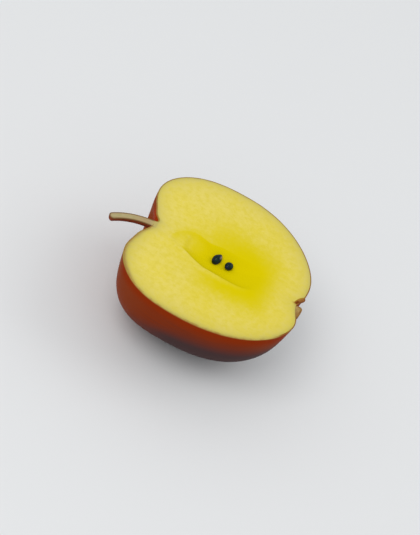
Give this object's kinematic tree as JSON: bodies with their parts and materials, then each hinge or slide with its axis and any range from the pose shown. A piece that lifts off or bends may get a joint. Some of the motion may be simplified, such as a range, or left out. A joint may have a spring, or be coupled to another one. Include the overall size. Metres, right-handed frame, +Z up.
{
  "type": "artificial apple half",
  "caption": "Artificial apple cut lengthwise through its core: flat yellow cut face with a dished core hollow and dark bead pips, red-brown skin, bent stem and small calyx.",
  "frame": {"origin": "in the small flat spot under the skin that the half rests on, straight below its centre of mass", "axes": "+X along the core from the stem end to the calyx end, +Y across the core to the fuller lobe, +Z up, straight out of the cut face"},
  "size_m": [0.0796, 0.0746, 0.0359],
  "materials": {
    "flesh": "matte painted pale yellow, deeper yellow sprayed over the core",
    "skin": "satin painted red-brown",
    "bark": "matte beige where it is cut, dark red-brown bark below",
    "sepal": "matte brown",
    "bead": "glossy blue-black"
  },
  "bodies": {
    "root": {"apple_body": "flesh", "stem": "bark", "calyx_near": "sepal", "calyx_under": "sepal", "calyx_far": "sepal", "pip_stem_side": "bead", "pip_calyx_side": "bead"}
  },
  "joints": []
}
